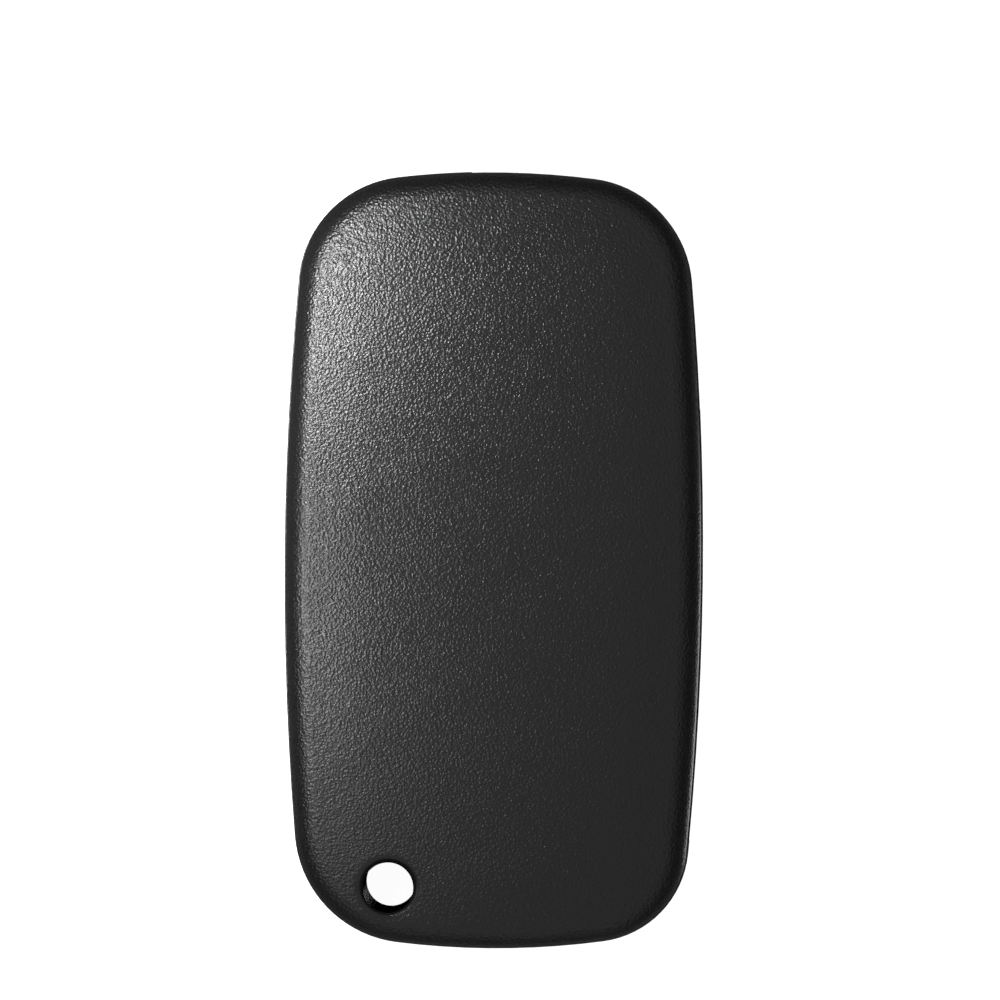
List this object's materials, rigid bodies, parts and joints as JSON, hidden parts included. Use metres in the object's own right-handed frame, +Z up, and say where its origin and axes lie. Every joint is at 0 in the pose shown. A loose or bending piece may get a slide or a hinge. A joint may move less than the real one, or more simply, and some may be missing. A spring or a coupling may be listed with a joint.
{
  "type": "flip key remote shell",
  "caption": "Empty shell of a flip key remote: black rounded case in two halves, folding uncut blade, release button, keypad with lock, unlock and boot buttons.",
  "frame": {"origin": "under the middle of the case, on the surface that it lies on, with the buttons facing down", "axes": "+Z up out of the plain back, +Y along the case towards the blade's hub, +X towards the side that the folded blade lies along"},
  "size_m": [0.041, 0.076, 0.0156],
  "materials": {
    "back_plastic": "black, fine leathery spark-eroded grain",
    "case_plastic": "black, fine spark-eroded grain",
    "gloss_panel": "polished black",
    "button_plastic": "satin black",
    "silicone": "dark grey silicone",
    "tray_plastic": "plain black moulding",
    "hub_plastic": "glass-filled black moulding",
    "blade_steel": "nickel-plated, milled grooves",
    "spring_steel": "plain spring steel",
    "plated_steel": "zinc-plated steel",
    "bright_trim": "bright chrome"
  },
  "bodies": {
    "case": {"front_cover": "case_plastic", "back_cover": "back_plastic", "keypad_bezel": "gloss_panel", "keypad_membrane": "silicone", "board_tray": "tray_plastic", "tray_screws": "plated_steel", "battery_clamp": "spring_steel", "thrust_washer": "plated_steel", "flip_spring": "spring_steel"},
    "blade_unit": {"blade_hub": "hub_plastic", "key_blade": "blade_steel", "blade_roll_pin": "spring_steel"},
    "release": {"release_button": "button_plastic", "release_trim": "bright_trim"},
    "lock_key": {"lock_button": "button_plastic"},
    "unlock_key": {"unlock_button": "button_plastic"},
    "boot_key": {"boot_button": "button_plastic"}
  },
  "joints": [
    {"name": "blade_flip", "type": "hinge", "parent": "case", "child": "blade_unit", "pos_m": [0.00833, 0.02649, 0.0078], "axis": [0, 0, 1], "range_deg": [0, 180], "deforming": ["flip_spring"]},
    {"name": "release_press", "type": "slide", "parent": "blade_unit", "child": "release", "axis": [0, 0, 1], "range_m": [0, 0.0018], "stiffness_N_per_m": 1500, "springref_m": -0.001, "deforming": ["flip_spring"]},
    {"name": "lock_press", "type": "slide", "parent": "case", "child": "lock_key", "axis": [0, 0, 1], "range_m": [0, 0.0006], "stiffness_N_per_m": 1500, "springref_m": -0.0005, "deforming": ["keypad_membrane"]},
    {"name": "unlock_press", "type": "slide", "parent": "case", "child": "unlock_key", "axis": [0, 0, 1], "range_m": [0, 0.0006], "stiffness_N_per_m": 1500, "springref_m": -0.0005, "deforming": ["keypad_membrane"]},
    {"name": "boot_press", "type": "slide", "parent": "case", "child": "boot_key", "axis": [0, 0, 1], "range_m": [0, 0.0006], "stiffness_N_per_m": 1500, "springref_m": -0.0005, "deforming": ["keypad_membrane"]}
  ]
}
